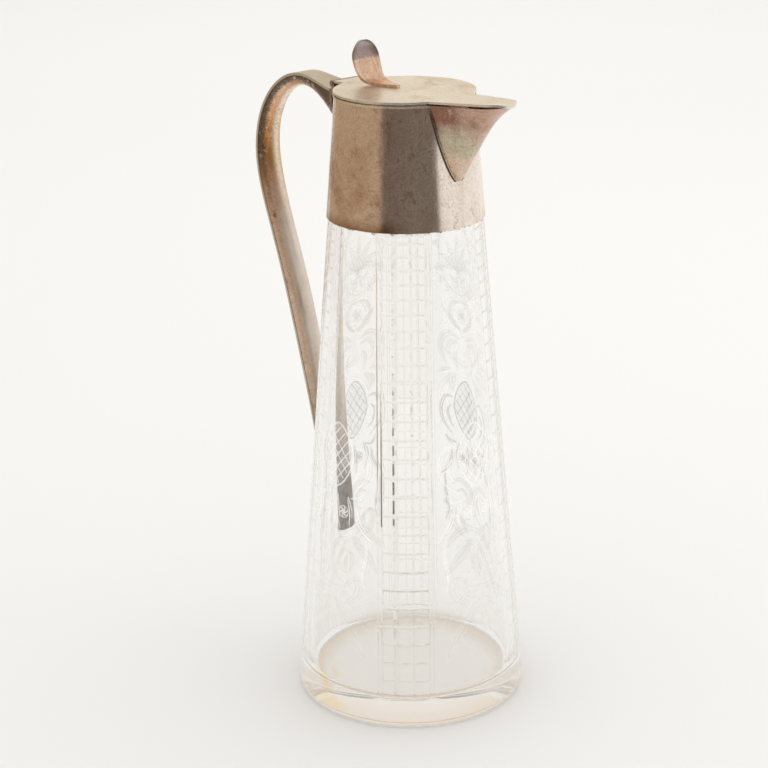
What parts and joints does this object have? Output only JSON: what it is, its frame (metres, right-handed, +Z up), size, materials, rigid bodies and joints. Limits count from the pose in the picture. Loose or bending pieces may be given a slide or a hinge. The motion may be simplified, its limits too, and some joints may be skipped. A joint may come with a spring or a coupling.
{
  "type": "claret jug",
  "caption": "Tapering cut-glass jug in a plated metal mount, with a beak spout, a flat hinged lid, a spoon-shaped thumbpiece and a long strap-backed handle.",
  "frame": {"origin": "centre of the underside of the glass base", "axes": "+X towards the spout, -X towards the handle, +Z up the jug"},
  "size_m": [0.161, 0.105, 0.2986],
  "materials": {
    "cut_glass": "clear lead glass with cut and engraved walls",
    "plaster": "matt plaster",
    "silver_plate": "polished silver plate with warm toning",
    "silver_dark": "silver plate with dark toning"
  },
  "bodies": {
    "jug": {"glass_body": "cut_glass", "cement_bed": "plaster", "collar_band": "silver_plate", "collar_rim": "silver_plate", "spout_lip": "silver_plate", "hinge_bracket": "silver_dark", "handle_end_plate": "silver_dark", "handle_shell": "silver_plate", "handle_back": "silver_plate", "hinge_pin": "silver_dark"},
    "lid": {"lid_plate": "silver_plate", "lid_bezel": "silver_plate", "lid_knuckle": "silver_dark", "thumbpiece": "silver_plate"}
  },
  "joints": [
    {"name": "lid_hinge", "type": "hinge", "parent": "jug", "child": "lid", "pos_m": [-0.0378, 0, 0.2789], "axis": [0, -1, 0], "range_deg": [0, 115]}
  ]
}
